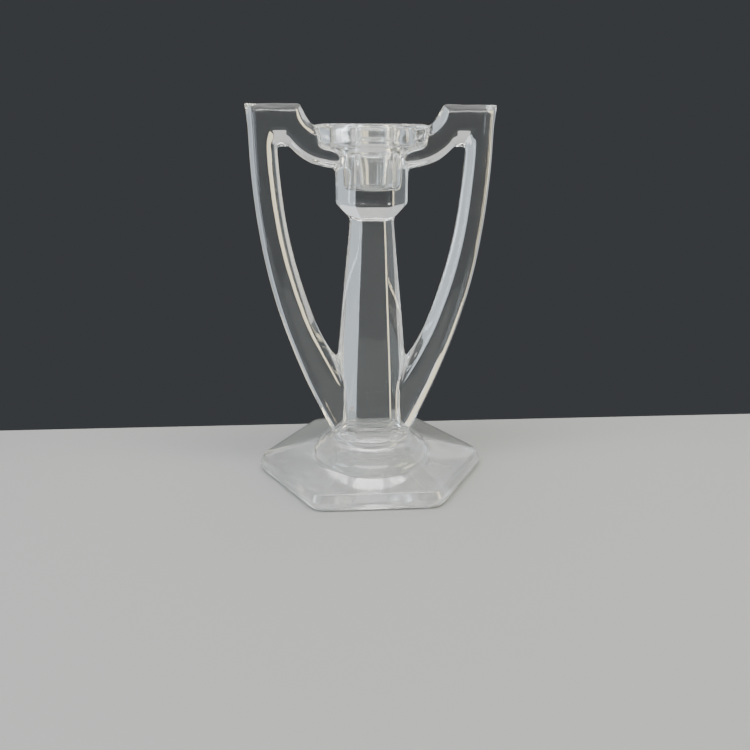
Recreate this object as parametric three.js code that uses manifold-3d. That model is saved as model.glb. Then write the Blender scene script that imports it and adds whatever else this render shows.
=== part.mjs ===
// Two-handled six-sided candlestick of clear pressed glass, in trophy form.
// Millimetres, +Z up. The front is -Y, the handles stand out along X,
// and the origin is in the middle of the resting face.

import * as THREE from 'three';
import { mergeVertices } from 'three/addons/utils/BufferGeometryUtils.js';
import Module from 'manifold-3d';

const wasm = await Module();
wasm.setup();

// ---- Driving dimensions ----

const ROUND_STEPS = 48;
const GAP = 0.3;
// How far a cutting solid runs past the face it opens.
const CUT_MARGIN = 1;

// Heights of the stacked members, from the table up.
const FOOT_TOP = 15.2;
const NECK_TOP = 21;
const COLUMN_TOP = 127;
const CUP_SHOULDER = 134;
const CUP_TOP = 153.3;
const RIM_TOP = 169.4;

// Foot: a six-sided slab with a domed hollow underneath.
const FOOT_CORNER = 58;
const FOOT_CORNER_TRIM = 57;
const FOOT_BOTTOM_CORNER = 56.2;
const FOOT_BOTTOM_CHAMFER = 0.8;
const FOOT_EDGE_HEIGHT = 8.2;
const FOOT_EDGE_ROUND = 2.2;
const FOOT_CROWN_CORNER = 30;
const HOLLOW_RADIUS = 26;
const HOLLOW_HEIGHT = 9;

// Neck: a turned collar with one bead.
const NECK_RADIUS = 17.6;
const BEAD_RADIUS = 18.8;
const BEAD_HEIGHT = 2.6;
const NECK_FLARE_RADIUS = 25.5;

// Column: a six-sided taper, measured at its corners. The two side corners lean out
// faster than the front and back ones, down to where the legs have joined.
const COLUMN_BOTTOM_CORNER = 17.5;
const COLUMN_TOP_CORNER = 10.4;
const COLUMN_SIDE_CORNER = 17.6;
const COLUMN_SIDE_HEIGHT = 52;

// Candle cup, the flared rim on it and the bore through both.
const CUP_CORNER = 17.1;
const RIM_CORNER = 28;
const RIM_CORNER_TRIM = 26.4;
const RIM_BAND_BOTTOM = 160.2;
const RIM_BAND_LIP = 1;
const FLARE_START_DEGREES = 12;
const FLARE_END_DEGREES = 80;
const RIM_EDGE_ROUND = 3.2;
const BORE_MOUTH_RADIUS = 11.6;
const BORE_BOTTOM_RADIUS = 9.2;
const BORE_BOTTOM = 140;
const BORE_BOTTOM_ROUND = 3;
const MOUTH_CHAMFER = 1.2;

// Handles: a strap with a flat front and back panel and drafted sides.
const HANDLE_TOP = 177.8;
const HANDLE_OUTER_X = 57;
const STRAP_DEPTH = 15.8;
const STRAP_DEPTH_AT_BREAK = 13.2;
const BREAK_SHARE = 0.57;
const OUTER_BEVEL = 4.2;
const INNER_BEVEL = 4.6;
const BAR_END_BEVEL = 5.4;
const BAR_END_DRAFT = 1;
const WINDOW_X = 43;
const BAR_PANEL_TOP = 173.4;
const BAR_PANEL_BOTTOM = 168;
const BAR_UNDERSIDE = 159.3;
const WINDOW_CORNER_DROP = 1;
const PANEL_CORNER_STEP = 0.5;
const PANEL_CORNER_DROP = 3;
const LEG_TOP = 156;
const LEG_TOP_OUTER_X = 55.7;
const LEG_BOTTOM = 17;
const LEG_BOTTOM_OUTER_X = 18.5;
const LEG_BOTTOM_INNER_X = 2;
const CROTCH_BEND = 0.0065;
const CROTCH_BEND_TOP = 80;
const ARM_STEPS = 14;
const LEG_STEPS = 22;

// Bezier curves of the right handle as [x, z]: start, two pulls and end.
const ARM_OUTER = [[13, 165], [27, 165], [28.5, 170], [32.4, HANDLE_TOP]];
const ARM_OUTER_PANEL = [[12, 156.6], [24, 161], [33, 163.5], [34.2, BAR_PANEL_TOP]];
const ARM_INNER_PANEL = [[12, 153.8], [26, 154.2], [33.5, 159], [37.2, BAR_PANEL_BOTTOM]];
const ARM_INNER = [[12, 149.6], [25, 149.8], [31.5, 152.5], [37.6, BAR_UNDERSIDE]];
const LEG_OUTER = [[LEG_TOP_OUTER_X, LEG_TOP], [54.4, 121], [49.5, 78], [20, 21]];
const LEG_INNER = [[WINDOW_X, LEG_TOP], [40.2, 110], [33.6, 87], [3.5, 21]];

// ---- Solids ----

function toSolid(geometry) {
  geometry.deleteAttribute('normal');
  geometry.deleteAttribute('uv');
  const merged = mergeVertices(geometry, 1e-4);
  return new wasm.Manifold(new wasm.Mesh({
    numProp: 3,
    vertProperties: new Float32Array(merged.attributes.position.array),
    triVerts: new Uint32Array(merged.index.array),
  }));
}

function toGeometry(solid) {
  const mesh = solid.getMesh();
  const geometry = new THREE.BufferGeometry();
  geometry.setAttribute('position', new THREE.BufferAttribute(mesh.vertProperties, 3));
  geometry.setIndex(new THREE.BufferAttribute(mesh.triVerts, 1));
  geometry.computeVertexNormals();
  return geometry;
}

// A profile of [radius, height] points, from the axis at the bottom to the axis at the top.
function turned(profile, steps = ROUND_STEPS, start = 0) {
  const points = profile.map(([radius, height]) => new THREE.Vector2(radius, height));
  const geometry = new THREE.LatheGeometry(points, steps, start);
  geometry.rotateX(Math.PI / 2);
  return toSolid(geometry);
}

// The same with six flat sides: the radii are to the corners, and two corners lie on X.
function sixSided(profile) {
  return turned(profile, 6, Math.PI / 6);
}

function disc(radius, bottom, top) {
  return turned([[0, bottom], [radius, bottom], [radius, top], [0, top]]);
}

// Points on a quarter of an ellipse around (centreRadius, centreHeight), from one angle to another.
function arc(centreRadius, centreHeight, acrossRadius, upRadius, from, to, steps = 5) {
  const points = [];
  for (let step = 0; step <= steps; step += 1) {
    const angle = THREE.MathUtils.degToRad(from + (to - from) * step / steps);
    points.push([
      centreRadius + acrossRadius * Math.cos(angle),
      centreHeight + upRadius * Math.sin(angle),
    ]);
  }
  return points;
}

// ---- Foot, neck and column ----

function footSolid() {
  const slab = sixSided([
    [0, 0],
    [FOOT_BOTTOM_CORNER - FOOT_BOTTOM_CHAMFER, 0],
    [FOOT_BOTTOM_CORNER, FOOT_BOTTOM_CHAMFER],
    [FOOT_CORNER, FOOT_EDGE_HEIGHT / 2],
    ...arc(FOOT_CORNER - FOOT_EDGE_ROUND, FOOT_EDGE_HEIGHT - FOOT_EDGE_ROUND,
      FOOT_EDGE_ROUND, FOOT_EDGE_ROUND, 0, 75, 3),
    [FOOT_CROWN_CORNER, FOOT_TOP],
    [0, FOOT_TOP],
  ]);
  const hollow = turned([
    [0, -CUT_MARGIN],
    [HOLLOW_RADIUS, -CUT_MARGIN],
    ...arc(0, 0, HOLLOW_RADIUS, HOLLOW_HEIGHT, 0, 90, 9),
  ]);
  const trim = disc(FOOT_CORNER_TRIM, -CUT_MARGIN, FOOT_TOP + CUT_MARGIN);
  return slab.intersect(trim).subtract(hollow);
}

function neckSolid(grow = 0) {
  const beadBottom = NECK_TOP - BEAD_HEIGHT;
  return turned([
    [0, FOOT_TOP],
    ...arc(NECK_FLARE_RADIUS + grow, beadBottom, BEAD_RADIUS - NECK_FLARE_RADIUS,
      FOOT_TOP - beadBottom, 90, 0, 4),
    ...arc(NECK_RADIUS + grow, beadBottom + BEAD_HEIGHT / 2, BEAD_RADIUS - NECK_RADIUS,
      BEAD_HEIGHT / 2, -60, 90, 6),
    [0, NECK_TOP],
  ]);
}

function columnCornerAt(height) {
  const share = (height - NECK_TOP) / (COLUMN_TOP - NECK_TOP);
  return COLUMN_BOTTOM_CORNER + share * (COLUMN_TOP_CORNER - COLUMN_BOTTOM_CORNER);
}

function columnRing(height, corner, sideCorner) {
  const x = corner / 2;
  const y = corner * Math.cos(Math.PI / 6);
  return [
    [sideCorner, 0, height], [x, y, height], [-x, y, height],
    [-sideCorner, 0, height], [-x, -y, height], [x, -y, height],
  ];
}

function columnSolid(grow = 0) {
  const side = COLUMN_SIDE_CORNER + grow;
  const middle = columnCornerAt(COLUMN_SIDE_HEIGHT) + grow;
  const top = COLUMN_TOP_CORNER + grow;
  return wasm.Manifold.hull([
    ...columnRing(NECK_TOP, COLUMN_BOTTOM_CORNER + grow, side),
    ...columnRing(COLUMN_SIDE_HEIGHT, middle, side),
    ...columnRing(COLUMN_TOP, top, top),
  ]);
}

// ---- Candle cup and rim ----

function cupEnvelope(grow = 0) {
  return sixSided([
    [0, COLUMN_TOP],
    [COLUMN_TOP_CORNER + grow, COLUMN_TOP],
    [CUP_CORNER + grow, CUP_SHOULDER],
    [CUP_CORNER + grow, CUP_TOP],
    [0, CUP_TOP],
  ]);
}

function rimEnvelope(grow = 0) {
  const flare = sixSided([
    [0, CUP_TOP],
    [CUP_CORNER + grow, CUP_TOP],
    ...arc(RIM_CORNER + grow, CUP_TOP, CUP_CORNER - RIM_CORNER, RIM_BAND_BOTTOM - CUP_TOP,
      FLARE_START_DEGREES, FLARE_END_DEGREES, 5),
    [RIM_CORNER + grow, RIM_BAND_BOTTOM + RIM_BAND_LIP],
    ...arc(RIM_CORNER - RIM_EDGE_ROUND + grow, RIM_TOP - RIM_EDGE_ROUND + grow,
      RIM_EDGE_ROUND, RIM_EDGE_ROUND, 0, 90, 4),
    [0, RIM_TOP + grow],
  ]);
  const trim = disc(RIM_CORNER_TRIM + grow, CUP_TOP - CUT_MARGIN, RIM_TOP + CUT_MARGIN);
  return flare.intersect(trim);
}

function boreSolid() {
  return turned([
    [0, BORE_BOTTOM],
    ...arc(BORE_BOTTOM_RADIUS - BORE_BOTTOM_ROUND, BORE_BOTTOM + BORE_BOTTOM_ROUND,
      BORE_BOTTOM_ROUND, BORE_BOTTOM_ROUND, -90, 0, 4),
    [BORE_MOUTH_RADIUS, RIM_TOP - MOUTH_CHAMFER],
    [BORE_MOUTH_RADIUS + MOUTH_CHAMFER, RIM_TOP],
    [BORE_MOUTH_RADIUS + MOUTH_CHAMFER, RIM_TOP + CUT_MARGIN],
    [0, RIM_TOP + CUT_MARGIN],
  ]);
}

// ---- Handles ----

function bezier(steps, curve) {
  const [start, pullStart, pullEnd, end] = curve.map(([x, z]) => new THREE.Vector2(x, z));
  return new THREE.CubicBezierCurve(start, pullStart, pullEnd, end).getPoints(steps);
}

// Shifts each point of a curve sideways, to the left of its direction.
function offset(points, distance) {
  return points.map((point, index) => {
    const before = points[Math.max(index - 1, 0)];
    const after = points[Math.min(index + 1, points.length - 1)];
    const along = after.clone().sub(before).normalize();
    return new THREE.Vector2(point.x - along.y * distance, point.y + along.x * distance);
  });
}

// Skins a strap between four rails in the XZ plane: its outer and inner silhouettes,
// which lie at y = 0, and the outer and inner edges of its flat panels.
function strapSolid(outer, outerPanel, innerPanel, inner) {
  const panelY = STRAP_DEPTH / 2;
  const breakY = STRAP_DEPTH_AT_BREAK / 2;
  const positions = [];
  outer.forEach((outerPoint, station) => {
    const innerPoint = inner[station];
    const outerEdge = outerPanel[station];
    const innerEdge = innerPanel[station];
    const outerBreak = outerPoint.clone().lerp(outerEdge, BREAK_SHARE);
    const innerBreak = innerPoint.clone().lerp(innerEdge, BREAK_SHARE);
    const section = [
      [outerPoint, 0], [outerBreak, -breakY], [outerEdge, -panelY], [innerEdge, -panelY],
      [innerBreak, -breakY], [innerPoint, 0], [innerBreak, breakY], [innerEdge, panelY],
      [outerEdge, panelY], [outerBreak, breakY],
    ];
    section.forEach(([point, y]) => positions.push(point.x, y, point.y));
  });
  const sides = 10;
  const lastRing = (outer.length - 1) * sides;
  const index = [];
  for (let ring = 0; ring < lastRing; ring += sides) {
    for (let side = 0; side < sides; side += 1) {
      const a = ring + side;
      const b = ring + (side + 1) % sides;
      index.push(a, b, a + sides, b, b + sides, a + sides);
    }
  }
  for (let side = 1; side < sides - 1; side += 1) {
    index.push(0, side + 1, side);
    index.push(lastRing, lastRing + side, lastRing + side + 1);
  }
  const geometry = new THREE.BufferGeometry();
  geometry.setAttribute('position', new THREE.Float32BufferAttribute(positions, 3));
  geometry.setIndex(index);
  return toSolid(geometry);
}

// The curved arm, the level bar at its end and the square outer corner, on the +X side.
function armSolid() {
  const at = (x, z) => new THREE.Vector2(x, z);
  const outerPanelX = HANDLE_OUTER_X - BAR_END_BEVEL;
  const innerPanelX = WINDOW_X + INNER_BEVEL;
  const outer = [
    ...bezier(ARM_STEPS, ARM_OUTER),
    at(HANDLE_OUTER_X, HANDLE_TOP),
    at(HANDLE_OUTER_X - BAR_END_DRAFT, BAR_PANEL_BOTTOM),
    at(LEG_TOP_OUTER_X, LEG_TOP),
  ];
  const outerPanel = [
    ...bezier(ARM_STEPS, ARM_OUTER_PANEL),
    at(outerPanelX, BAR_PANEL_TOP),
    at(outerPanelX, BAR_PANEL_BOTTOM),
    at(LEG_TOP_OUTER_X - OUTER_BEVEL, LEG_TOP),
  ];
  const innerPanel = [
    ...bezier(ARM_STEPS, ARM_INNER_PANEL),
    at(innerPanelX - PANEL_CORNER_STEP, BAR_PANEL_BOTTOM),
    at(innerPanelX, BAR_PANEL_BOTTOM - PANEL_CORNER_DROP),
    at(innerPanelX, LEG_TOP),
  ];
  const inner = [
    ...bezier(ARM_STEPS, ARM_INNER),
    at(WINDOW_X, BAR_UNDERSIDE),
    at(WINDOW_X, BAR_UNDERSIDE - WINDOW_CORNER_DROP),
    at(WINDOW_X, LEG_TOP),
  ];
  return strapSolid(outer, outerPanel, innerPanel, inner)
    .subtract(cupEnvelope(GAP))
    .subtract(rimEnvelope(GAP));
}

// The inner edge of a leg swings in towards the column near the crotch.
function swungIn(point) {
  const drop = Math.max(CROTCH_BEND_TOP - point.y, 0);
  const x = Math.max(point.x - CROTCH_BEND * drop ** 2, LEG_BOTTOM_INNER_X);
  return new THREE.Vector2(x, point.y);
}

// The long leg from the outer corner in to the neck, on the +X side.
function legSolid() {
  const outer = bezier(LEG_STEPS, LEG_OUTER);
  const innerGuide = bezier(LEG_STEPS, LEG_INNER);
  const inner = innerGuide.map(swungIn);
  const outerPanel = offset(outer, -OUTER_BEVEL);
  const innerPanel = offset(innerGuide, INNER_BEVEL);
  outerPanel[0].y = LEG_TOP;
  innerPanel[0].y = LEG_TOP;
  outer.push(new THREE.Vector2(LEG_BOTTOM_OUTER_X, LEG_BOTTOM));
  outerPanel.push(new THREE.Vector2(LEG_BOTTOM_OUTER_X - OUTER_BEVEL, LEG_BOTTOM));
  innerPanel.push(new THREE.Vector2(LEG_BOTTOM_INNER_X + INNER_BEVEL, LEG_BOTTOM));
  inner.push(new THREE.Vector2(LEG_BOTTOM_INNER_X, LEG_BOTTOM));
  return strapSolid(outer, outerPanel, innerPanel, inner)
    .subtract(columnSolid(GAP))
    .subtract(neckSolid(GAP));
}

function mirrored(solid) {
  return solid.mirror([1, 0, 0]);
}

// ---- Assembly ----

const award = new THREE.Group();

function addPiece(name, solid, colour) {
  const material = new THREE.MeshStandardMaterial({
    color: colour,
    roughness: 0.05,
    metalness: 0,
    transparent: true,
    opacity: 0.35,
  });
  const mesh = new THREE.Mesh(toGeometry(solid), material);
  mesh.name = name;
  award.add(mesh);
}

const CLEAR_GLASS = 0xe6ece8;
const bore = boreSolid();
const arm = armSolid();
const leg = legSolid();

addPiece('foot', footSolid(), CLEAR_GLASS);
addPiece('neck', neckSolid(), CLEAR_GLASS);
addPiece('column', columnSolid(), CLEAR_GLASS);
addPiece('candle_cup', cupEnvelope().subtract(bore), CLEAR_GLASS);
addPiece('drip_rim', rimEnvelope().subtract(bore), CLEAR_GLASS);
addPiece('right_handle_arm', arm, CLEAR_GLASS);
addPiece('right_handle_leg', leg, CLEAR_GLASS);
addPiece('left_handle_arm', mirrored(arm), CLEAR_GLASS);
addPiece('left_handle_leg', mirrored(leg), CLEAR_GLASS);

export default award;
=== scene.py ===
"""Looks of a two-handled candlestick of clear pressed glass.

The glass is worked out as one smooth distance field in millimetres, because the real
object is a single pressing whose members melt into each other. The field is meshed,
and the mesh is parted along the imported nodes, so each node gets a closed piece.
"""
import math

import bmesh
import bpy
import numpy as np
from mathutils import Matrix, Vector


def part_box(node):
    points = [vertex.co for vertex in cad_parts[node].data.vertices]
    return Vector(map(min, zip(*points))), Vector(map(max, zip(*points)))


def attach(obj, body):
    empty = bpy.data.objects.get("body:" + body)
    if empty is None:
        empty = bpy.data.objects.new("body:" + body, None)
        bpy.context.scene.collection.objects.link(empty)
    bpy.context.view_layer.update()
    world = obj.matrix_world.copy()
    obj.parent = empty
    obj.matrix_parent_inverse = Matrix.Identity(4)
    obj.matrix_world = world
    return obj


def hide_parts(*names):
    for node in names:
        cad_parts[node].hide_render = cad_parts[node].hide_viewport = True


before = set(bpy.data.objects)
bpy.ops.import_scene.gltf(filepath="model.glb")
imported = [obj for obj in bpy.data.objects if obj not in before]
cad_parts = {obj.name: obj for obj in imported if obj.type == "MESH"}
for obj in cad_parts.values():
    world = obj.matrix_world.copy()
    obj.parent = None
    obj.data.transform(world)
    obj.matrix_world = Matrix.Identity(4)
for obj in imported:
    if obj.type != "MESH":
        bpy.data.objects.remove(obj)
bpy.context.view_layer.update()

MM = 0.001
COS30 = math.cos(math.radians(30))

# ---- Sizes in millimetres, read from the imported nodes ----


def low_and_high(name):
    """The two corners of a node's box."""
    low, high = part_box(name)
    return np.array(low) / MM, np.array(high) / MM


FOOT_HIGH = low_and_high("foot")[1]
NECK_HIGH = low_and_high("neck")[1]
COLUMN_HIGH = low_and_high("column")[1]
CUP_HIGH = low_and_high("candle_cup")[1]
RIM_HIGH = low_and_high("drip_rim")[1]
ARM_LOW, ARM_HIGH = low_and_high("right_handle_arm")
LEG_HIGH = low_and_high("right_handle_leg")[1]

FOOT_TOP = FOOT_HIGH[2]
NECK_TOP = NECK_HIGH[2]
COLUMN_TOP = COLUMN_HIGH[2]
CUP_TOP = CUP_HIGH[2]
RIM_TOP = RIM_HIGH[2]
ARM_BOTTOM = ARM_LOW[2]
HANDLE_TOP = ARM_HIGH[2]
LEG_TOP = LEG_HIGH[2]

FOOT_CORNER = FOOT_HIGH[0]
NECK_FLARE_RADIUS = NECK_HIGH[0]
COLUMN_SIDE_CORNER = COLUMN_HIGH[0]
COLUMN_BOTTOM_CORNER = COLUMN_HIGH[1] / COS30
CUP_CORNER = CUP_HIGH[0]
RIM_CORNER = RIM_HIGH[0]
STRAP_HALF_DEPTH = ARM_HIGH[1]
HANDLE_OUTER_X = ARM_HIGH[0]
LEG_TOP_OUTER_X = LEG_HIGH[0]

# ---- Sizes that the boxes don't give ----

FOOT_ROUNDING = 0.5
FOOT_BOTTOM_INSET = 2.2
FOOT_BEVEL_INSET = 0.9
FOOT_BEVEL_HEIGHT = 1.3
FOOT_EDGE_HEIGHT = 8.2
FOOT_EDGE_INSET = 2.2
FOOT_EDGE_DROP = 0.4
FOOT_CORNER_SOFTNESS = 4.6
FOOT_CROWN_CORNER = 30
FOOT_CROWN_RISE = 0.8
HOLLOW_RADIUS = 26
HOLLOW_HEIGHT = 9
NECK_RADIUS = 17.6
NECK_ROOT_DEPTH = 4
BEAD_RADIUS = 18.8
BEAD_HEIGHT = 2.6
BEAD_START_DEGREES = -60
COLUMN_TOP_CORNER = 10.4
COLUMN_SIDE_HEIGHT = 52
CUP_SHOULDER = 134
RIM_BAND_BOTTOM = 160.2
RIM_BAND_LIP = 1
RIM_ROOT_INSET = 1
RIM_CORNER_SOFTNESS = 5.5
RIM_EDGE_ROUND = 3.2
FLARE_START_DEGREES = 12
FLARE_END_DEGREES = 82
BORE_BOTTOM = 140
BORE_BOTTOM_RADIUS = 9.2
BORE_MOUTH_RADIUS = 11.6
BORE_BOTTOM_ROUND = 3
MOUTH_FLARE = 3
MOUTH_DEPTH = 1
MOUTH_RISE = 2
FACET_SOFTNESS = 0.8

OUTER_BEVEL = 4.2
INNER_BEVEL = 4.6
BREAK_SHARE = 0.57
BREAK_HALF_DEPTH = 6.6
WINDOW_X = 43
BAR_PANEL_TOP = 173.4
BAR_PANEL_BOTTOM = 168
BAR_UNDERSIDE = 159.3
BAR_END_BEVEL = 5.4
BAR_END_DRAFT = 1
PANEL_CORNER_STEP = 0.5
PANEL_CORNER_DROP = 3
CROTCH_BEND = 0.0065
CROTCH_BEND_TOP = 80
EDGE_KEEP = 0.7

# Where the straps' outlines end inside the cup and the neck.
ARM_ROOT_X = 2
ARM_ROOT_TOP = 165
ARM_ROOT_BOTTOM = 149.6
ARM_PANEL_ROOT_X = 4
ARM_PANEL_ROOT_TOP = 156
ARM_PANEL_ROOT_BOTTOM = 153.8
LEG_ROOT_INNER_X = -8
LEG_ROOT_OUTER_X = 18.5
LEG_ROOT_Z = 16
LEG_PANEL_ROOT_OUTER_X = 14.3
LEG_PANEL_ROOT_Z = 12

# Bezier curves of the right handle in the XZ plane: start, two pulls and end.
ARM_OUTER = [(13, 165), (27, 165), (28.5, 170), (32.4, HANDLE_TOP)]
ARM_OUTER_PANEL = [(12, 156.6), (24, 161), (33, 163.5), (34.2, BAR_PANEL_TOP)]
ARM_INNER_PANEL = [(12, 153.8), (26, 154.2), (33.5, 159), (37.2, BAR_PANEL_BOTTOM)]
ARM_INNER = [(12, 149.6), (25, 149.8), (31.5, 152.5), (37.6, BAR_UNDERSIDE)]
LEG_OUTER = [(LEG_TOP_OUTER_X, LEG_TOP), (54.4, 121), (49.5, 78), (20, 21)]
LEG_INNER = [(WINDOW_X, LEG_TOP), (40.2, 110), (33.6, 87), (3.5, 21)]

# How softly each member melts into the rest.
NECK_BLEND = 2.5
COLUMN_BLEND = 0.8
RIM_BLEND = 1.5
CUP_BLEND = 0.6
STRAP_BLEND = 2.2
BORE_BLEND = 1.2
HOLLOW_BLEND = 1.5

# ---- Field settings ----

STEP = 0.55
MARGIN = 4
FAR = 12.0
PAST_AXIS = -60
PAST_END = 20
MEMBER_OVERLAP = 3
TABLE_STEP = 0.25
SLOPE_REACH = 0.75
NEWTON_ROUNDS = 3
LEAST_STEEPNESS = 0.05
LARGEST_MOVE = 0.3
LEAST_SPAN = 1.0
INSIDE_GRID = 1.001
TINY = 1e-12
REST_GAP = 0.03
POLISH = 0.6
WAVE_SEED = 11
WAVE_LENGTHS = (42, 33, 27, 22, 18, 15, 12, 10)
WAVE_SLOPE = 0.0045
TOP_WAVE_LENGTHS = (8, 6.5, 5.5, 4.6, 3.9)
TOP_WAVE_SLOPE = 0.075
TOP_WAVE_DEPTH = 5

# ---- Field tools ----


def bezier(curve, steps=28):
    """Points along a cubic curve, given as its start, two pulls and end."""
    t = np.linspace(0, 1, steps + 1)[:, None]
    a, b, c, d = (np.array(point, float) for point in curve)
    return (1 - t) ** 3 * a + 3 * (1 - t) ** 2 * t * b + 3 * (1 - t) * t ** 2 * c + t ** 3 * d


def shifted(points, distance):
    """Moves each point of a curve to the left of its direction."""
    along = np.gradient(points, axis=0)
    along /= np.linalg.norm(along, axis=1, keepdims=True)
    return points + distance * np.column_stack([-along[:, 1], along[:, 0]])


def arc(centre, radii, start, end, steps=8):
    """Points on part of an ellipse, between two angles in degrees."""
    angles = np.radians(np.linspace(start, end, steps + 1))
    return [(centre[0] + radii[0] * math.cos(angle), centre[1] + radii[1] * math.sin(angle))
            for angle in angles]


def polygon_distance(u, v, points):
    """Signed distance from (u, v) to a closed outline, negative inside."""
    points = np.array(points, float)
    nearest = np.full(u.shape, np.inf, np.float32)
    inside = np.zeros(u.shape, bool)
    for (u0, v0), (u1, v1) in zip(points, np.roll(points, -1, axis=0)):
        du, dv = u1 - u0, v1 - v0
        length = du * du + dv * dv
        if length < TINY:
            continue
        share = np.clip(((u - u0) * du + (v - v0) * dv) / length, 0, 1)
        nearest = np.minimum(nearest, (u - u0 - share * du) ** 2 + (v - v0 - share * dv) ** 2)
        if v0 != v1:
            crosses = (v0 > v) != (v1 > v)
            inside ^= crosses & (u < u0 + (v - v0) * du / dv)
    distance = np.sqrt(nearest)
    return np.where(inside, -distance, distance)


def smooth_max(a, b, softness):
    """The larger of two fields, rounded where they are nearly equal."""
    overlap = np.maximum(softness - np.abs(a - b), 0) / softness
    return np.maximum(a, b) + overlap * overlap * softness / 4


def smooth_min(a, b, softness):
    return -smooth_max(-a, -b, softness)


def blurred(field, radius):
    """Gaussian blur of a field, with the radius given in grid steps."""
    reach = int(math.ceil(3 * radius))
    offsets = np.arange(-reach, reach + 1)
    weights = np.exp(-0.5 * (offsets / radius) ** 2)
    weights /= weights.sum()
    for axis in range(3):
        padding = [(reach, reach) if other == axis else (0, 0) for other in range(3)]
        padded = np.pad(field, padding, mode="edge")
        field = np.zeros_like(field)
        for index, weight in enumerate(weights):
            window = [slice(None)] * 3
            window[axis] = slice(index, index + field.shape[axis])
            field += np.float32(weight) * padded[tuple(window)]
    return field


# ---- The glass, on a quarter grid: x and y from the axis outwards ----

GRID_X = np.arange(0, HANDLE_OUTER_X + MARGIN, STEP, dtype=np.float32)
GRID_Y = np.arange(0, FOOT_HIGH[1] + MARGIN, STEP, dtype=np.float32)
GRID_Z = np.arange(-MARGIN, HANDLE_TOP + MARGIN, STEP, dtype=np.float32)
PLAN_X, PLAN_Y = np.meshgrid(GRID_X, GRID_Y, indexing="ij")
ROUND_PLAN = np.hypot(PLAN_X, PLAN_Y)


def six_sided_plan(softness):
    """Distance from the axis square to the nearest flat, with corners on X."""
    right = COS30 * PLAN_X + 0.5 * PLAN_Y
    left = COS30 * PLAN_X - 0.5 * PLAN_Y
    return smooth_max(smooth_max(right, left, softness), PLAN_Y, softness)


def sweep(plan, profile, rounding=0.0):
    """Field of a profile of (plan distance, height) points carried round the axis."""
    heights = np.array(profile)[:, 1]
    low, high = heights.min() - FAR, heights.max() + FAR
    rows = (GRID_Z >= low) & (GRID_Z <= high)
    field = np.full(plan.shape + GRID_Z.shape, FAR, np.float32)
    reach = np.arange(-1, plan.max() + 1, TABLE_STEP, dtype=np.float32)
    table_u, table_v = np.meshgrid(reach, GRID_Z[rows], indexing="ij")
    table = polygon_distance(table_u, table_v, profile) - rounding
    place = (plan - reach[0]) / TABLE_STEP
    index = np.clip(place.astype(int), 0, len(reach) - 2)
    share = (place - index)[..., None].astype(np.float32)
    field[..., rows] = table[index] * (1 - share) + table[index + 1] * share
    return np.minimum(field, FAR)


def flat_sided(corner):
    """Distance from the axis to a flat of a regular hexagon."""
    return corner * COS30


def foot_field():
    flat = flat_sided(FOOT_CORNER) + FOOT_CORNER_SOFTNESS / 4
    crown = FOOT_TOP + FOOT_CROWN_RISE
    profile = [
        (PAST_AXIS, FOOT_ROUNDING), (flat - FOOT_BOTTOM_INSET, FOOT_ROUNDING),
        (flat - FOOT_BEVEL_INSET, FOOT_BEVEL_HEIGHT),
        (flat - FOOT_ROUNDING, FOOT_EDGE_HEIGHT / 2),
        (flat - FOOT_EDGE_INSET, FOOT_EDGE_HEIGHT - FOOT_EDGE_DROP),
        (flat_sided(FOOT_CROWN_CORNER), FOOT_TOP - FOOT_ROUNDING),
        (0, crown), (PAST_AXIS, crown),
    ]
    return sweep(six_sided_plan(FOOT_CORNER_SOFTNESS), profile, rounding=FOOT_ROUNDING)


def neck_field():
    bead_bottom = NECK_TOP - BEAD_HEIGHT
    flare = NECK_FLARE_RADIUS
    root = FOOT_TOP - NECK_ROOT_DEPTH
    profile = [(PAST_AXIS, root), (flare, root)]
    profile += arc((flare, bead_bottom), (BEAD_RADIUS - flare, FOOT_TOP - bead_bottom), 90, 0)
    profile += arc((NECK_RADIUS, bead_bottom + BEAD_HEIGHT / 2),
                   (BEAD_RADIUS - NECK_RADIUS, BEAD_HEIGHT / 2), BEAD_START_DEGREES, 90)
    profile += [(PAST_AXIS, NECK_TOP)]
    return sweep(ROUND_PLAN, profile)


def column_corners_at(height):
    """How far the front and side corners of the column are from its axis."""
    ends = (NECK_TOP, COLUMN_TOP)
    front = np.interp(height, ends, (COLUMN_BOTTOM_CORNER, COLUMN_TOP_CORNER))
    side = np.interp(height, (COLUMN_SIDE_HEIGHT, COLUMN_TOP),
                     (COLUMN_SIDE_CORNER, COLUMN_TOP_CORNER))
    return front, side


def column_field():
    front, side = column_corners_at(GRID_Z)
    x, y = PLAN_X[..., None], PLAN_Y[..., None]
    flat = front * COS30
    run = side - front / 2
    slanted = (flat * x + run * y - flat * side) / np.hypot(flat, run)
    sides = smooth_max(slanted, y - flat, FACET_SOFTNESS)
    ends = np.maximum(NECK_TOP - MEMBER_OVERLAP - GRID_Z, GRID_Z - COLUMN_TOP - MEMBER_OVERLAP)
    return np.minimum(np.maximum(sides, ends), FAR).astype(np.float32)


def cup_field():
    flat = flat_sided(CUP_CORNER)
    top = CUP_TOP + MEMBER_OVERLAP
    profile = [(PAST_AXIS, COLUMN_TOP), (flat_sided(COLUMN_TOP_CORNER), COLUMN_TOP),
               (flat, CUP_SHOULDER), (flat, top), (PAST_AXIS, top)]
    return sweep(six_sided_plan(FACET_SOFTNESS), profile)


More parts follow.
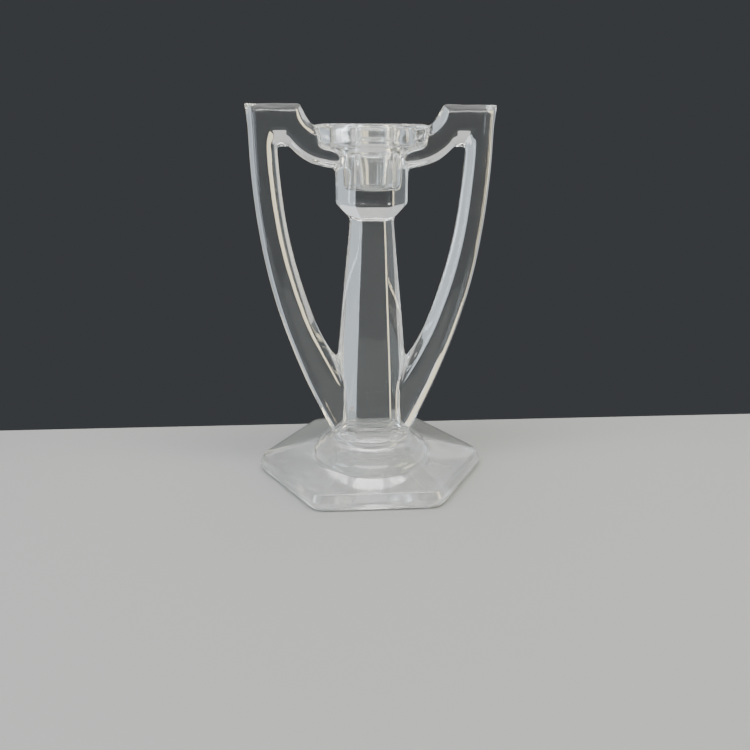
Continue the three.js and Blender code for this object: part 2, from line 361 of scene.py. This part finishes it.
def rim_field():
    cup_flat = flat_sided(CUP_CORNER)
    rim_flat = flat_sided(RIM_CORNER) + RIM_CORNER_SOFTNESS / 4
    root = CUP_TOP - MEMBER_OVERLAP
    r = RIM_EDGE_ROUND
    profile = [(PAST_AXIS, root), (cup_flat - RIM_ROOT_INSET, root)]
    profile += arc((rim_flat, CUP_TOP), (cup_flat - rim_flat, RIM_BAND_BOTTOM - CUP_TOP),
                   FLARE_START_DEGREES, FLARE_END_DEGREES)
    profile += [(rim_flat, RIM_BAND_BOTTOM + RIM_BAND_LIP)]
    profile += arc((rim_flat - r, RIM_TOP - r), (r, r), 0, 90)
    profile += [(PAST_AXIS, RIM_TOP)]
    return sweep(six_sided_plan(RIM_CORNER_SOFTNESS), profile)


def bore_field():
    r = BORE_BOTTOM_ROUND
    flared = BORE_MOUTH_RADIUS + MOUTH_FLARE
    profile = [(PAST_AXIS, BORE_BOTTOM)]
    profile += arc((BORE_BOTTOM_RADIUS - r, BORE_BOTTOM + r), (r, r), -90, 0)
    profile += [(BORE_MOUTH_RADIUS, RIM_TOP - MOUTH_DEPTH), (flared, RIM_TOP + MOUTH_RISE),
                (flared, RIM_TOP + PAST_END), (PAST_AXIS, RIM_TOP + PAST_END)]
    return sweep(ROUND_PLAN, profile)


def hollow_field():
    profile = [(PAST_AXIS, -PAST_END), (HOLLOW_RADIUS, -PAST_END)]
    profile += arc((0, 0), (HOLLOW_RADIUS, HOLLOW_HEIGHT), 0, 90, steps=16)
    profile += [(PAST_AXIS, HOLLOW_HEIGHT)]
    return sweep(ROUND_PLAN, profile)


def strap_outlines():
    """The strap's silhouette and the outline of its flat panel, in the XZ plane."""
    leg_outer = bezier(LEG_OUTER)
    leg_inner = bezier(LEG_INNER)
    outer_panel = shifted(leg_outer, -OUTER_BEVEL)
    inner_panel = shifted(leg_inner, INNER_BEVEL)
    drop = np.maximum(CROTCH_BEND_TOP - leg_inner[:, 1], 0)
    leg_inner[:, 0] = np.maximum(leg_inner[:, 0] - CROTCH_BEND * drop ** 2, LEG_ROOT_INNER_X)
    panel_x = HANDLE_OUTER_X - BAR_END_BEVEL
    window_panel_x = WINDOW_X + INNER_BEVEL
    silhouette = [
        (ARM_ROOT_X, ARM_ROOT_TOP), *bezier(ARM_OUTER), (HANDLE_OUTER_X, HANDLE_TOP),
        (HANDLE_OUTER_X - BAR_END_DRAFT, BAR_PANEL_BOTTOM), *leg_outer,
        (LEG_ROOT_OUTER_X, LEG_ROOT_Z), (LEG_ROOT_INNER_X, LEG_ROOT_Z), *leg_inner[::-1],
        (WINDOW_X, BAR_UNDERSIDE), *bezier(ARM_INNER)[::-1], (ARM_ROOT_X, ARM_ROOT_BOTTOM),
    ]
    panel = [
        (ARM_PANEL_ROOT_X, ARM_PANEL_ROOT_TOP), *bezier(ARM_OUTER_PANEL),
        (panel_x, BAR_PANEL_TOP), (panel_x, BAR_PANEL_BOTTOM), *outer_panel,
        (LEG_PANEL_ROOT_OUTER_X, LEG_PANEL_ROOT_Z), (0, LEG_PANEL_ROOT_Z), *inner_panel[::-1],
        (window_panel_x, BAR_PANEL_BOTTOM - PANEL_CORNER_DROP),
        (window_panel_x - PANEL_CORNER_STEP, BAR_PANEL_BOTTOM), *bezier(ARM_INNER_PANEL)[::-1],
        (ARM_PANEL_ROOT_X, ARM_PANEL_ROOT_BOTTOM),
    ]
    return silhouette, panel


def strap_field():
    """The handle as a relief that rises from its silhouette to its flat panel."""
    silhouette, panel = strap_outlines()
    side_x, side_z = np.meshgrid(GRID_X, GRID_Z, indexing="ij")
    inward = -polygon_distance(side_x, side_z, silhouette)
    to_panel = polygon_distance(side_x, side_z, panel)
    share = inward / np.maximum(inward + np.maximum(to_panel, 0), LEAST_SPAN)
    rise = BREAK_HALF_DEPTH / BREAK_SHARE
    shallow = (STRAP_HALF_DEPTH - BREAK_HALF_DEPTH) / (1 - BREAK_SHARE)
    height = np.minimum(rise * share, BREAK_HALF_DEPTH + shallow * (share - BREAK_SHARE))
    height += EDGE_KEEP * np.clip(1 - share, 0, 1)
    height = np.maximum(height, -3 * FAR)
    slope_x, slope_z = np.gradient(height, STEP)
    steepness = np.sqrt(1 + slope_x ** 2 + slope_z ** 2)
    ridge = np.hypot(GRID_Y, EDGE_KEEP)[None, :, None]
    field = (ridge - height[:, None, :]) / steepness[:, None, :]
    return np.minimum(field, FAR).astype(np.float32)


def quarter_field():
    """All members melted together, with the socket and the hollow taken out."""
    body = smooth_min(foot_field(), neck_field(), NECK_BLEND)
    body = smooth_min(body, column_field(), COLUMN_BLEND)
    top = smooth_min(cup_field(), rim_field(), RIM_BLEND)
    body = smooth_min(body, top, CUP_BLEND)
    body = smooth_min(body, strap_field(), STRAP_BLEND)
    body = smooth_max(body, -bore_field(), BORE_BLEND)
    return smooth_max(body, -hollow_field(), HOLLOW_BLEND)


def mirrored(values, signs=1):
    """Adds the other side of values that start at a plane of symmetry."""
    return np.concatenate([signs * values[:0:-1], values])


def add_waves(field, axes, wavelengths, steepness, share, generator):
    """Shallow waves in random directions, weighted by height, as pressed glass has."""
    x, y, z = axes
    for wavelength in wavelengths:
        direction = generator.normal(size=3)
        turns = 2 * math.pi * direction / np.linalg.norm(direction) / wavelength
        across = np.exp(1j * turns[0] * x) * steepness * wavelength / (2 * math.pi)
        deep = np.exp(1j * (turns[1] * y + generator.uniform(0, 2 * math.pi)))
        upright = np.exp(1j * turns[2] * z) * share
        plan = (across[:, None] * deep[None, :])[..., None]
        field += plan.real.astype(np.float32) * upright.real.astype(np.float32)
        field -= plan.imag.astype(np.float32) * upright.imag.astype(np.float32)


def whole_field():
    """The field of the whole glass and the coordinates of its grid."""
    quarter = blurred(quarter_field(), POLISH / STEP)
    half = mirrored(quarter)
    whole = mirrored(half.swapaxes(0, 1)).swapaxes(0, 1)
    axes = mirrored(GRID_X, -1), mirrored(GRID_Y, -1), GRID_Z
    whole = np.ascontiguousarray(whole, np.float32)
    generator = np.random.default_rng(WAVE_SEED)
    add_waves(whole, axes, WAVE_LENGTHS, WAVE_SLOPE, 1, generator)
    top = GRID_Z > HANDLE_TOP - TOP_WAVE_DEPTH
    top_z = GRID_Z[top]
    share = np.clip((top_z - HANDLE_TOP) / TOP_WAVE_DEPTH + 1, 0, 1)
    upper = np.ascontiguousarray(whole[..., top])
    add_waves(upper, (*axes[:2], top_z), TOP_WAVE_LENGTHS, TOP_WAVE_SLOPE, share, generator)
    whole[..., top] = upper
    return whole, axes


# ---- Meshing the field ----


def sample(field, origin, points):
    """Value of the field at points in millimetres, between its grid points."""
    place = (points - origin) / STEP
    place = np.clip(place, 0, np.array(field.shape) - INSIDE_GRID)
    cell = place.astype(np.int64)
    part = place - cell
    total = np.zeros(len(points))
    for corner in range(8):
        shift = np.array([corner & 1, corner >> 1 & 1, corner >> 2 & 1])
        weight = np.prod(np.where(shift, part, 1 - part), axis=1)
        at = cell + shift
        total += weight * field[at[:, 0], at[:, 1], at[:, 2]]
    return total


def slope(field, origin, points):
    """Direction in which the field grows fastest."""
    result = np.empty_like(points)
    for axis in range(3):
        shift = np.zeros(3)
        shift[axis] = SLOPE_REACH * STEP
        result[:, axis] = (sample(field, origin, points + shift)
                           - sample(field, origin, points - shift)) / (2 * SLOPE_REACH * STEP)
    return result


def surface_net(field, origin):
    """Quads on the surface where the field is zero, one vertex in each crossed cell."""
    inside = field < 0
    corners = [(i, j, k) for i in (0, 1) for j in (0, 1) for k in (0, 1)]
    cell_shape = tuple(size - 1 for size in field.shape)

    def corner_view(array, corner):
        window = tuple(slice(c, c + size) for c, size in zip(corner, cell_shape))
        return array[window]

    count = sum(corner_view(inside, corner).astype(np.int8) for corner in corners)
    cells = np.argwhere((count > 0) & (count < 8))
    values = np.stack([field[tuple((cells + np.array(corner)).T)] for corner in corners])
    total = np.zeros((len(cells), 3))
    crossings = np.zeros(len(cells))
    for first, a in enumerate(corners):
        for second, b in enumerate(corners):
            if sum(b) - sum(a) != 1 or sum(abs(p - q) for p, q in zip(a, b)) != 1:
                continue
            crossed = (values[first] < 0) != (values[second] < 0)
            gap = np.where(crossed, values[first] - values[second], 1)
            share = np.where(crossed, values[first] / gap, 0)
            point = np.array(a) + share[:, None] * (np.array(b) - np.array(a))
            total += np.where(crossed[:, None], point, 0)
            crossings += crossed
    points = origin + STEP * (cells + total / crossings[:, None])

    number = np.full(cell_shape, -1, np.int32)
    number[tuple(cells.T)] = np.arange(len(cells))
    quads = []
    for axis in range(3):
        second, third = (axis + 1) % 3, (axis + 2) % 3
        here = [slice(1, size) for size in cell_shape]
        here[axis] = slice(0, cell_shape[axis])
        beyond = list(here)
        beyond[axis] = slice(1, cell_shape[axis] + 1)
        starts, ends = inside[tuple(here)], inside[tuple(beyond)]
        for leaving in (True, False):
            edges = np.argwhere((starts & ~ends) if leaving else (~starts & ends))
            edges[:, second] += 1
            edges[:, third] += 1
            ring = []
            for step_second, step_third in ((-1, -1), (0, -1), (0, 0), (-1, 0)):
                cell = edges.copy()
                cell[:, second] += step_second
                cell[:, third] += step_third
                ring.append(number[tuple(cell.T)])
            quad = np.stack(ring, axis=1)
            quads.append(quad if leaving else quad[:, ::-1])
    return points, np.concatenate(quads)


def glass_surface():
    """The field with its origin, and the glass's surface as points and quads."""
    field, (x, y, z) = whole_field()
    origin = np.array([x[0], y[0], z[0]], float)
    points, quads = surface_net(field, origin)
    for _ in range(NEWTON_ROUNDS):
        direction = slope(field, origin, points)
        steep = np.maximum(np.sum(direction ** 2, axis=1), LEAST_STEEPNESS)
        move = -sample(field, origin, points)[:, None] * direction / steep[:, None]
        points += np.clip(move, -LARGEST_MOVE, LARGEST_MOVE)
    points[:, 2] = np.maximum(points[:, 2], REST_GAP)
    return field, origin, points, quads


# ---- Materials ----

GLASS_TINT = (0.97, 0.985, 0.975, 1)
GLASS_IOR = 1.52
SMEAR_SIZE = 0.014
SMEAR_DETAIL = 4
SMEAR_DISTORTION = 0.6
SMEAR_RANGE = (0.45, 0.75)
RIPPLE_DETAIL = 2
BUMP_STRENGTH = 0.2

GLASS_INDEX = 0
SEAM_INDEX = 1


def glass_material(name, clearness, polish, ripple_size, ripple_height):
    """Pressed glass under a thin veil of dust, with ripples of the given size and height.

    Its roughness wanders between the two values of polish, as on handled glass.
    """
    material = bpy.data.materials.new(name)
    material.use_nodes = True
    nodes, links = material.node_tree.nodes, material.node_tree.links
    shader = nodes["Principled BSDF"]
    shader.inputs["Base Color"].default_value = GLASS_TINT
    shader.inputs["IOR"].default_value = GLASS_IOR
    shader.inputs["Transmission Weight"].default_value = clearness
    place = nodes.new("ShaderNodeTexCoord")
    smear = nodes.new("ShaderNodeTexNoise")
    smear.inputs["Scale"].default_value = 1 / SMEAR_SIZE
    smear.inputs["Detail"].default_value = SMEAR_DETAIL
    smear.inputs["Distortion"].default_value = SMEAR_DISTORTION
    links.new(place.outputs["Object"], smear.inputs["Vector"])
    handled = nodes.new("ShaderNodeMapRange")
    handled.inputs["From Min"].default_value = SMEAR_RANGE[0]
    handled.inputs["From Max"].default_value = SMEAR_RANGE[1]
    handled.inputs["To Min"].default_value = polish[0]
    handled.inputs["To Max"].default_value = polish[1]
    links.new(smear.outputs["Fac"], handled.inputs["Value"])
    links.new(handled.outputs["Result"], shader.inputs["Roughness"])
    ripple = nodes.new("ShaderNodeTexNoise")
    ripple.inputs["Scale"].default_value = 1 / ripple_size
    ripple.inputs["Detail"].default_value = RIPPLE_DETAIL
    links.new(place.outputs["Object"], ripple.inputs["Vector"])
    bump = nodes.new("ShaderNodeBump")
    bump.inputs["Strength"].default_value = BUMP_STRENGTH
    bump.inputs["Distance"].default_value = ripple_height / BUMP_STRENGTH
    links.new(ripple.outputs["Fac"], bump.inputs["Height"])
    links.new(bump.outputs["Normal"], shader.inputs["Normal"])
    return material


def seam_material():
    """The hidden faces between pieces, where the glass runs on unbroken."""
    material = bpy.data.materials.new("unbroken_glass")
    material.use_nodes = True
    shader = material.node_tree.nodes["Principled BSDF"]
    shader.inputs["Base Color"].default_value = (1, 1, 1, 1)
    shader.inputs["IOR"].default_value = 1.0
    shader.inputs["Transmission Weight"].default_value = 1.0
    shader.inputs["Roughness"].default_value = 0.0
    return material


GLASS = glass_material("clear_pressed_glass", 0.98, (0.0, 0.06), 0.009, 0.00002)
SEAM = seam_material()
SOCKET = glass_material("dulled_socket_glass", 0.90, (0.11, 0.19), 0.002, 0.00002)
BASE = glass_material("worn_base_glass", 0.85, (0.09, 0.17), 0.004, 0.00003)
HOLLOW = glass_material("milky_hollow_glass", 0.74, (0.08, 0.16), 0.006, 0.00004)

# ---- Parting the glass into its members ----

WIDE = 90
ABOVE_ALL = 3 * WIDE
SEAM_GAP = 0.005
SEAM_GROWTH = 0.35
CLEAR_GROWTH = 3
CROTCH_TOP = 67
CROTCH_WIDENING = 4
SHOULDER_DROP = 2
ARM_NARROWING = (6, 4)
RIM_CELL_TOP = RIM_TOP + 6
LEAST_TRIM_DEGREES = 1
STRAP_SPLIT_X = 39.5
STRAP_SPLIT_Z = 130
STRAP_CLEARANCE = 0.9
BESIDE_AXIS = 0.5
CELL_OVERLAP = 1


def mesh_object(name, points_mm, faces, material_index=GLASS_INDEX):
    mesh = bpy.data.meshes.new(name)
    mesh.from_pydata((np.asarray(points_mm) * MM).tolist(), [], faces)
    mesh.materials.append(GLASS)
    mesh.materials.append(SEAM)
    mesh.polygons.foreach_set("material_index", [material_index] * len(mesh.polygons))
    made = bpy.data.objects.new(name, mesh)
    bpy.context.collection.objects.link(made)
    return made


def cutter_box(low, high):
    corners = [(x, y, z) for x in (low[0], high[0]) for y in (low[1], high[1])
               for z in (low[2], high[2])]
    faces = [(0, 1, 3, 2), (4, 6, 7, 5), (0, 4, 5, 1), (2, 3, 7, 6), (0, 2, 6, 4), (1, 5, 7, 3)]
    return mesh_object("cutter", corners, faces, SEAM_INDEX)


def six_sided_ring(front, side, height):
    """A hexagon with its side corners on X and its front and back flats across Y."""
    x, y = front / 2, front * COS30
    return [(side, 0, height), (x, y, height), (-x, y, height),
            (-side, 0, height), (-x, -y, height), (x, -y, height)]


def trimmed_ring(corner, trim, height):
    """A hexagon with corners on X, each corner cut to stay inside a circle."""
    half = math.radians(30) - math.acos(min(flat_sided(corner) / trim, 1))
    half = max(half, math.radians(LEAST_TRIM_DEGREES))
    radius = min(trim, corner)
    ring = []
    for corner_degrees in range(0, 360, 60):
        for turn in (-half, half):
            angle = math.radians(corner_degrees) + turn
            ring.append((radius * math.cos(angle), radius * math.sin(angle), height))
    return ring


def cutter_tower(rings):
    """A closed stack of rings with equal numbers of corners, from the bottom up."""
    sides = len(rings[0])
    last = (len(rings) - 1) * sides
    faces = []
    for start in range(0, last, sides):
        for side in range(sides):
            a, b = start + side, start + (side + 1) % sides
            faces.append((a, b, b + sides, a + sides))
    faces.append(tuple(range(sides))[::-1])
    faces.append(tuple(range(last, last + sides)))
    return mesh_object("cutter", [point for ring in rings for point in ring], faces,
                       SEAM_INDEX)


def carved(name, source, cutter, operation):
    """A copy of the source cut by the cutter."""
    made = bpy.data.objects.new(name, source.data.copy())
    bpy.context.collection.objects.link(made)
    modifier = made.modifiers.new("cut", "BOOLEAN")
    modifier.object = cutter
    modifier.operation = operation
    modifier.solver = "MANIFOLD"
    modifier.material_mode = "INDEX"
    depsgraph = bpy.context.evaluated_depsgraph_get()
    mesh = bpy.data.meshes.new_from_object(made.evaluated_get(depsgraph))
    made.modifiers.clear()
    old = made.data
    made.data = mesh
    mesh.name = name
    bpy.data.meshes.remove(old)
    return made


def discard(*objects):
    for unwanted in objects:
        mesh = unwanted.data
        bpy.data.objects.remove(unwanted)
        bpy.data.meshes.remove(mesh)


def slab(low, high, x_low=-WIDE, x_high=WIDE):
    """A box between two heights, a hair inside the planes that it shares with others."""
    return cutter_box((x_low, -WIDE, low + SEAM_GAP), (x_high, WIDE, high - SEAM_GAP))


def with_front_and_back(tower, low, high, slack):
    """Adds all that lies in front of the straps and behind them to a cell."""
    near = STRAP_HALF_DEPTH + STRAP_CLEARANCE - slack
    for y_low, y_high in ((-WIDE, -near), (near, WIDE)):
        box = cutter_box((-WIDE, y_low, low), (WIDE, y_high, high))
        joined = carved("cutter", tower, box, "UNION")
        discard(tower, box)
        tower = joined
    return tower


def core_cutters(slack):
    """Closed cells round the column, the cup and the rim, tight only where straps meet them."""
    tight, clear = SEAM_GROWTH + slack, CLEAR_GROWTH + slack

    def column_ring(growth, height, lift=0):
        front, side = column_corners_at(height)
        return six_sided_ring(front + growth, side + growth, height + lift)

    def regular_ring(corner, height):
        return six_sided_ring(corner, corner, height)

    column = cutter_tower([
        column_ring(tight, NECK_TOP, -slack),
        column_ring(tight, COLUMN_SIDE_HEIGHT),
        column_ring(tight, CROTCH_TOP),
        column_ring(clear, CROTCH_TOP + CROTCH_WIDENING),
        column_ring(clear, COLUMN_TOP, slack),
    ])
    cup = cutter_tower([
        regular_ring(COLUMN_TOP_CORNER + clear, COLUMN_TOP - slack),
        regular_ring(CUP_CORNER + clear, CUP_SHOULDER - SHOULDER_DROP),
        regular_ring(CUP_CORNER + clear, ARM_BOTTOM - ARM_NARROWING[0]),
        regular_ring(CUP_CORNER + tight, ARM_BOTTOM - ARM_NARROWING[1]),
        regular_ring(CUP_CORNER + tight, CUP_TOP + slack),
    ])
    sharp = (flat_sided(RIM_CORNER) + RIM_CORNER_SOFTNESS / 4) / COS30 + tight
    flare = arc((sharp, CUP_TOP), (CUP_CORNER + tight - sharp, RIM_BAND_BOTTOM - CUP_TOP),
                FLARE_START_DEGREES, FLARE_END_DEGREES)
    levels = [(CUP_CORNER + tight, CUP_TOP - slack), *flare,
              (sharp, RIM_BAND_BOTTOM + RIM_BAND_LIP), (sharp, RIM_CELL_TOP)]
    rim = cutter_tower([trimmed_ring(corner, RIM_CORNER + tight, height)
                        for corner, height in levels])
    return (with_front_and_back(column, NECK_TOP - slack, COLUMN_TOP + slack, slack),
            with_front_and_back(cup, COLUMN_TOP - slack, CUP_TOP + slack, slack),
            with_front_and_back(rim, CUP_TOP - slack, RIM_CELL_TOP, slack))


def handle_cutters(sign):
    """Cells round the leg and the arm of one handle, on the side of the given sign."""
    def side_slab(low, high, inner, outer):
        return slab(low, high, *sorted((sign * inner, sign * outer)))

    leg_low = side_slab(NECK_TOP - CELL_OVERLAP, STRAP_SPLIT_Z, BESIDE_AXIS, WIDE)
    leg_high = side_slab(STRAP_SPLIT_Z - CELL_OVERLAP, LEG_TOP, STRAP_SPLIT_X, WIDE)
    arm_side = side_slab(LEG_TOP, ABOVE_ALL, STRAP_SPLIT_X - CELL_OVERLAP, WIDE)
    arm_inner = side_slab(STRAP_SPLIT_Z, ABOVE_ALL, BESIDE_AXIS, STRAP_SPLIT_X)
    leg = carved("cutter", leg_low, leg_high, "UNION")
    arm = carved("cutter", arm_side, arm_inner, "UNION")
    discard(leg_low, leg_high, arm_side, arm_inner)
    return leg, arm


def part_glass(whole):
    """The nine closed pieces, named after the nodes they stand for."""
    pieces = {}

    def keep(node, source, cutter):
        pieces[node] = carved("glass_" + node, source, cutter, "INTERSECT")

    cells = core_cutters(-SEAM_GAP)
    wider_cells = core_cutters(SEAM_GAP)
    lower = slab(-WIDE, FOOT_TOP)
    middle = slab(FOOT_TOP, NECK_TOP)
    upper = slab(NECK_TOP, ABOVE_ALL)
    keep("foot", whole, lower)
    keep("neck", whole, middle)
    above = carved("above", whole, upper, "INTERSECT")
    for node, cell in zip(("column", "candle_cup", "drip_rim"), cells):
        keep(node, above, cell)
    straps = above
    for cell in wider_cells:
        rest = carved("straps", straps, cell, "DIFFERENCE")
        discard(straps)
        straps = rest
    for side, sign in (("right", 1), ("left", -1)):
        leg_cell, arm_cell = handle_cutters(sign)
        keep(side + "_handle_leg", straps, leg_cell)
        keep(side + "_handle_arm", straps, arm_cell)
        discard(leg_cell, arm_cell)
    discard(straps, lower, middle, upper, whole, *cells, *wider_cells)
    return pieces


def drop_scraps(piece):
    """Keeps the largest connected part, without the scraps that a cut can leave beside it."""
    mesh = bmesh.new()
    mesh.from_mesh(piece.data)
    unvisited = set(mesh.verts)
    parts = []
    while unvisited:
        part = [unvisited.pop()]
        for vertex in part:
            for edge in vertex.link_edges:
                other = edge.other_vert(vertex)
                if other in unvisited:
                    unvisited.remove(other)
                    part.append(other)
        parts.append(part)
    parts.sort(key=len)
    scraps = [vertex for part in parts[:-1] for vertex in part]
    if scraps:
        bmesh.ops.delete(mesh, geom=scraps, context="VERTS")
        mesh.to_mesh(piece.data)
    mesh.free()


def shade(piece, field, origin):
    """Smooth outer glass, shaded by the field, and flat hidden faces."""
    mesh = piece.data
    count = len(mesh.vertices)
    points = np.empty(count * 3)
    mesh.vertices.foreach_get("co", points)
    normals = slope(field, origin, points.reshape(-1, 3) / MM)
    normals /= np.maximum(np.linalg.norm(normals, axis=1, keepdims=True), TINY)
    loop_vertex = np.empty(len(mesh.loops), np.int32)
    mesh.loops.foreach_get("vertex_index", loop_vertex)
    starts = np.empty(len(mesh.polygons), np.int32)
    totals = np.empty(len(mesh.polygons), np.int32)
    materials = np.empty(len(mesh.polygons), np.int32)
    face_normals = np.empty(len(mesh.polygons) * 3)
    mesh.polygons.foreach_get("loop_start", starts)
    mesh.polygons.foreach_get("loop_total", totals)
    mesh.polygons.foreach_get("material_index", materials)
    mesh.polygons.foreach_get("normal", face_normals)
    loop_face = np.repeat(np.arange(len(mesh.polygons)), totals)
    hidden = materials[loop_face] == SEAM_INDEX
    loop_normals = np.where(hidden[:, None], face_normals.reshape(-1, 3)[loop_face],
                            normals[loop_vertex])
    mesh.polygons.foreach_set("use_smooth", [True] * len(mesh.polygons))
    mesh.normals_split_custom_set(loop_normals.tolist())


SOCKET_DEPTH_SLACK = 1
SOCKET_LIP = 0.5
SOCKET_SIDE_SLACK = 1.5
SOCKET_FACING = 0.5
BASE_HEIGHT = 0.5
BASE_FACING = 0.3
HOLLOW_SLACK = 1
HOLLOW_FACING = 0.1


def dull(piece, material, chosen):
    """Gives a duller glass to the outer faces whose middle and normal are chosen."""
    mesh = piece.data
    mesh.materials.append(material)
    count = len(mesh.polygons)
    middles, normals = np.empty(count * 3), np.empty(count * 3)
    indices = np.empty(count, np.int32)
    mesh.polygons.foreach_get("center", middles)
    mesh.polygons.foreach_get("normal", normals)
    mesh.polygons.foreach_get("material_index", indices)
    picked = chosen(middles.reshape(-1, 3) / MM, normals.reshape(-1, 3)) & (indices == GLASS_INDEX)
    indices[picked] = len(mesh.materials) - 1
    mesh.polygons.foreach_set("material_index", indices)


def in_socket(middle, normal):
    """The wall and the bottom of the candle socket."""
    radius = np.hypot(middle[:, 0], middle[:, 1])
    inward = -(middle[:, 0] * normal[:, 0] + middle[:, 1] * normal[:, 1]) / radius
    height = middle[:, 2]
    deep = (height > BORE_BOTTOM - SOCKET_DEPTH_SLACK) & (height < RIM_TOP - SOCKET_LIP)
    near = radius < BORE_MOUTH_RADIUS + SOCKET_SIDE_SLACK
    return deep & near & ((inward > SOCKET_FACING) | (normal[:, 2] > SOCKET_FACING))


def on_base(middle, normal):
    """The ring that the foot stands on."""
    return (middle[:, 2] < BASE_HEIGHT) & (normal[:, 2] < -BASE_FACING)


def in_hollow(middle, normal):
    """The dome under the foot, inside the ring that it stands on."""
    radius = np.hypot(middle[:, 0], middle[:, 1])
    inside = (radius < HOLLOW_RADIUS) & (middle[:, 2] < HOLLOW_HEIGHT + HOLLOW_SLACK)
    return inside & (middle[:, 2] >= BASE_HEIGHT) & (normal[:, 2] < -HOLLOW_FACING)


def build_glass():
    """The nine pieces of glass, each hung on the root body and named after the node it hides."""
    field, origin, points, quads = glass_surface()
    whole = mesh_object("whole", points, quads.tolist())
    pieces = part_glass(whole)
    for node, piece in pieces.items():
        drop_scraps(piece)
        shade(piece, field, origin)
        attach(piece, "root")
        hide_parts(node)
    dull(pieces["candle_cup"], SOCKET, in_socket)
    dull(pieces["drip_rim"], SOCKET, in_socket)
    dull(pieces["foot"], BASE, on_base)
    dull(pieces["foot"], HOLLOW, in_hollow)


# ---- Stage ----

FLOOR_HALF_WIDTH = 0.42
FLOOR_BACK = 0.062
FLOOR_FRONT = -0.50
FLOOR_THICKNESS = 0.012
FLOOR_BEVEL = 0.0015
FLOOR_COLOUR = (0.31, 0.315, 0.31, 1)
FLOOR_ROUGHNESS = 0.45

CAMERA_DISTANCE = 0.3665
CAMERA_HEIGHT = 0.1692
CAMERA_SIDE = 0.0019
CAMERA_PITCH = math.radians(18.08)
CAMERA_TURN = math.radians(4.3)
CAMERA_ROLL = math.radians(0.3)
CAMERA_LENS = 36.9
CAMERA_NEAR = 0.01
SENSOR_WIDTH = 36.0

LIGHT_TARGET = (0, 0, 0.09)
COOL = (0.80, 0.90, 1.0)
WARM = (1.0, 0.88, 0.62)
PLAIN = (1.0, 0.99, 0.97)
ROOM_COLOUR = (0.045, 0.048, 0.052, 1)

GLASS_BOUNCES = 40
GLOSSY_BOUNCES = 12


def make_floor():
    """A pale slab whose back edge lies close behind the foot, as the photo shows."""
    mesh = bmesh.new()
    bmesh.ops.create_cube(mesh, size=1)
    for vertex in mesh.verts:
        vertex.co.x *= 2 * FLOOR_HALF_WIDTH
        vertex.co.y = FLOOR_FRONT + (vertex.co.y + 0.5) * (FLOOR_BACK - FLOOR_FRONT)
        vertex.co.z = (vertex.co.z - 0.5) * FLOOR_THICKNESS
    bmesh.ops.bevel(mesh, geom=list(mesh.edges), offset=FLOOR_BEVEL, segments=3, affect="EDGES")
    data = bpy.data.meshes.new("floor")
    mesh.to_mesh(data)
    mesh.free()
    floor = bpy.data.objects.new("floor", data)
    bpy.context.collection.objects.link(floor)
    material = bpy.data.materials.new("pale_floor")
    material.use_nodes = True
    shader = material.node_tree.nodes["Principled BSDF"]
    shader.inputs["Base Color"].default_value = FLOOR_COLOUR
    shader.inputs["Roughness"].default_value = FLOOR_ROUGHNESS
    data.materials.append(material)


def make_camera():
    """A camera in front of the object, slightly to its left, looking down a little."""
    data = bpy.data.cameras.new("camera")
    data.sensor_width = SENSOR_WIDTH
    data.lens = CAMERA_LENS
    data.clip_start = CAMERA_NEAR
    camera = bpy.data.objects.new("camera", data)
    bpy.context.collection.objects.link(camera)
    turn = Matrix.Rotation(-CAMERA_TURN, 4, "Z")
    place = Matrix.Translation(Vector((CAMERA_SIDE, -CAMERA_DISTANCE, CAMERA_HEIGHT)))
    tilt = Matrix.Rotation(math.pi / 2 - CAMERA_PITCH, 4, "X")
    roll = Matrix.Rotation(CAMERA_ROLL, 4, "Z")
    camera.matrix_world = turn @ place @ tilt @ roll
    bpy.context.scene.camera = camera


def make_light(name, place, size, power, colour):
    """A panel of light aimed at the object, unseen by the camera itself."""
    data = bpy.data.lights.new(name, "AREA")
    data.shape = "RECTANGLE"
    data.size, data.size_y = size
    data.energy = power
    data.color = colour
    light = bpy.data.objects.new(name, data)
    bpy.context.collection.objects.link(light)
    light.location = place
    aim = Vector(LIGHT_TARGET) - Vector(place)
    light.rotation_euler = aim.to_track_quat("-Z", "Y").to_euler()
    light.visible_camera = False


def make_lights():
    """The room round the object: a window, lamps and a dim background."""
    make_light("window_left", (-0.95, -0.55, 0.50), (1.1, 1.1), 7, COOL)
    make_light("strip_left", (-1.0, -0.33, 0.25), (0.3, 1.2), 9, COOL)
    make_light("strip_right", (1.0, -0.33, 0.25), (0.35, 1.2), 13, WARM)
    make_light("strip_top", (0, -0.27, 0.95), (1.2, 0.25), 12, PLAIN)
    make_light("back_left", (-0.90, 0.50, 0.20), (0.6, 1.5), 1.5, PLAIN)
    make_light("lamp_low", (-0.375, 0.93, -0.06), (0.26, 0.80), 0.85, WARM)
    make_light("back_right", (0.72, 0.70, 0.10), (0.8, 1.3), 2.2, COOL)
    make_light("back_top", (0, 0.95, 0.80), (2.0, 0.9), 4.2, PLAIN)
    make_light("soft_top", (0, -0.1, 1.0), (1.2, 1.2), 7, PLAIN)
    world = bpy.data.worlds.new("dim_room")
    world.use_nodes = True
    world.node_tree.nodes["Background"].inputs["Color"].default_value = ROOM_COLOUR
    bpy.context.scene.world = world


def light_paths():
    """Light crosses many faces of glass here, so its paths are long."""
    cycles = bpy.context.scene.cycles
    cycles.max_bounces = GLASS_BOUNCES
    cycles.transmission_bounces = GLASS_BOUNCES
    cycles.glossy_bounces = GLOSSY_BOUNCES


make_camera()
build_glass()
make_floor()
make_lights()
light_paths()
